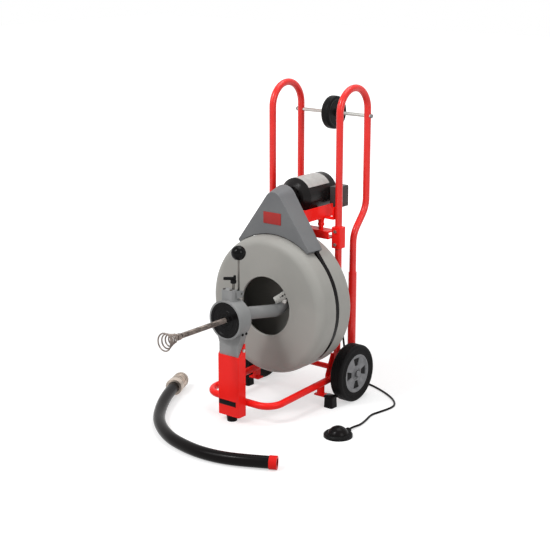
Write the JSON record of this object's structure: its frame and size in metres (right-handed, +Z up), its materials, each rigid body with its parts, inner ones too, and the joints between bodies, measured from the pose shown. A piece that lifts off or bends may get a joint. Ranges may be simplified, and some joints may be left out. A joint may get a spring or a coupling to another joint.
{
  "type": "drum drain cleaning machine",
  "caption": "Upright drain cleaning machine on wheels: a belt-driven cable drum in a tube frame, with a lever feed unit, an auger, a foot switch and a guide hose.",
  "frame": {"origin": "on the floor, under the middle of the machine's length and width", "axes": "+Z up, -Y to the front where the cable comes out, +X to the right seen from the front"},
  "size_m": [0.8253, 0.9959, 1.143],
  "materials": {
    "red_paint": "gloss powder coat",
    "drum_plastic": "moulded, fine grain",
    "guard_plastic": "moulded, fine grain",
    "cast_grey": "cast, painted grey",
    "zinc_steel": "zinc plated",
    "bearing_steel": "ground",
    "cable_steel": "oiled wire",
    "motor_paint": "gloss black",
    "rotor_iron": "turned",
    "tyre_rubber": "moulded",
    "hub_plastic": "moulded",
    "black_rubber": "smooth",
    "black_plastic": "moulded",
    "knob_plastic": "polished",
    "bush_brass": "turned",
    "red_plastic": "moulded"
  },
  "bodies": {
    "frame": {"base_tube": "red_paint", "axle_tube": "red_paint", "wheel_axle": "zinc_steel", "side_plates": "red_paint", "left_handle": "red_paint", "right_handle": "red_paint", "leg_sleeves": "red_paint", "post_brackets": "red_paint", "cross_member": "red_paint", "drum_support": "red_paint", "front_column": "red_paint", "rubber_feet": "black_rubber", "foot_brackets": "red_paint", "frame_bolts": "zinc_steel", "loading_axle": "zinc_steel", "axle_caps": "hub_plastic", "bearing_block": "cast_grey", "drum_bearings": "bearing_steel", "motor_plate": "red_paint", "tension_screws": "red_paint", "motor_shell": "motor_paint", "motor_front_bell": "motor_paint", "motor_rear_bell": "motor_paint", "motor_bearings": "bearing_steel", "switch_box": "black_plastic", "box_fittings": "zinc_steel", "belt_guard": "guard_plastic", "cover_screws": "zinc_steel", "drive_belt": "black_rubber", "feed_housing": "cast_grey", "feed_face": "black_plastic", "feed_bush": "bush_brass", "pedal_base": "black_plastic", "pedal_hose": "black_rubber", "guide_hose": "black_rubber", "hose_coupling": "zinc_steel", "hose_cap": "red_plastic"},
    "left_wheel": {"left_tyre": "tyre_rubber", "left_hub": "hub_plastic"},
    "right_wheel": {"right_tyre": "tyre_rubber", "right_hub": "hub_plastic"},
    "loading_wheel": {"loading_wheel": "black_plastic"},
    "motor": {"motor_rotor": "rotor_iron", "motor_pulley": "rotor_iron"},
    "drum": {"drum_front": "drum_plastic", "drum_rear": "drum_plastic", "drum_spindle": "zinc_steel", "cable_winding": "cable_steel", "distributor_tube": "cast_grey", "tube_clamp": "zinc_steel", "drain_cable": "cable_steel", "auger": "cable_steel"},
    "direction_switch": {"direction_switch": "black_plastic"},
    "feed_lever": {"feed_lever": "zinc_steel", "lever_knob": "knob_plastic"},
    "selector": {"selector_handle": "black_plastic"},
    "feed_roller_1": {"feed_roller_1": "bearing_steel"},
    "feed_roller_2": {"feed_roller_2": "bearing_steel"},
    "feed_roller_3": {"feed_roller_3": "bearing_steel"},
    "pedal": {"pedal_button": "black_rubber"}
  },
  "joints": [
    {"name": "drum_spin", "type": "hinge", "parent": "frame", "child": "drum", "pos_m": [0, 0, 0.375], "axis": [0, 1, 0], "continuous": true},
    {"name": "motor_spin", "type": "hinge", "parent": "frame", "child": "motor", "pos_m": [0, 0, 0.744], "axis": [0, 1, 0], "continuous": true},
    {"name": "left_wheel_spin", "type": "hinge", "parent": "frame", "child": "left_wheel", "pos_m": [-0.211, 0.1226, 0.106], "axis": [1, 0, 0], "continuous": true},
    {"name": "right_wheel_spin", "type": "hinge", "parent": "frame", "child": "right_wheel", "pos_m": [0.211, 0.1226, 0.106], "axis": [1, 0, 0], "continuous": true},
    {"name": "loading_wheel_spin", "type": "hinge", "parent": "frame", "child": "loading_wheel", "pos_m": [0, 0.2825, 1.0228], "axis": [1, 0, 0], "continuous": true},
    {"name": "feed_lever_swing", "type": "hinge", "parent": "frame", "child": "feed_lever", "pos_m": [0.015, -0.284, 0.462], "axis": [-1, 0, 0], "range_deg": [0, 35]},
    {"name": "selector_turn", "type": "hinge", "parent": "frame", "child": "selector", "pos_m": [0.01, -0.306, 0.49], "axis": [0, 0, 1], "range_deg": [-45, 45]},
    {"name": "direction_switch_turn", "type": "hinge", "parent": "frame", "child": "direction_switch", "pos_m": [0.0895, 0.2304, 0.747], "axis": [0, 1, 0], "range_deg": [-40, 40]},
    {"name": "pedal_press", "type": "slide", "parent": "frame", "child": "pedal", "axis": [0, 0, -1], "range_m": [0, 0.007], "stiffness_N_per_m": 2500, "springref_m": -0.002},
    {"name": "feed_roller_1_spin", "type": "hinge", "parent": "frame", "child": "feed_roller_1", "pos_m": [0, -0.31275, 0.397], "axis": [-0.1736, -0.9848, 0], "continuous": true},
    {"name": "feed_roller_2_spin", "type": "hinge", "parent": "frame", "child": "feed_roller_2", "pos_m": [-0.01905, -0.31275, 0.364], "axis": [0.0868, -0.9848, -0.1504], "continuous": true},
    {"name": "feed_roller_3_spin", "type": "hinge", "parent": "frame", "child": "feed_roller_3", "pos_m": [0.01905, -0.31275, 0.364], "axis": [0.0868, -0.9848, 0.1504], "continuous": true}
  ],
  "couplings": [
    {"joint": "motor_spin", "follows": "drum_spin", "ratio": 8.6042}
  ]
}
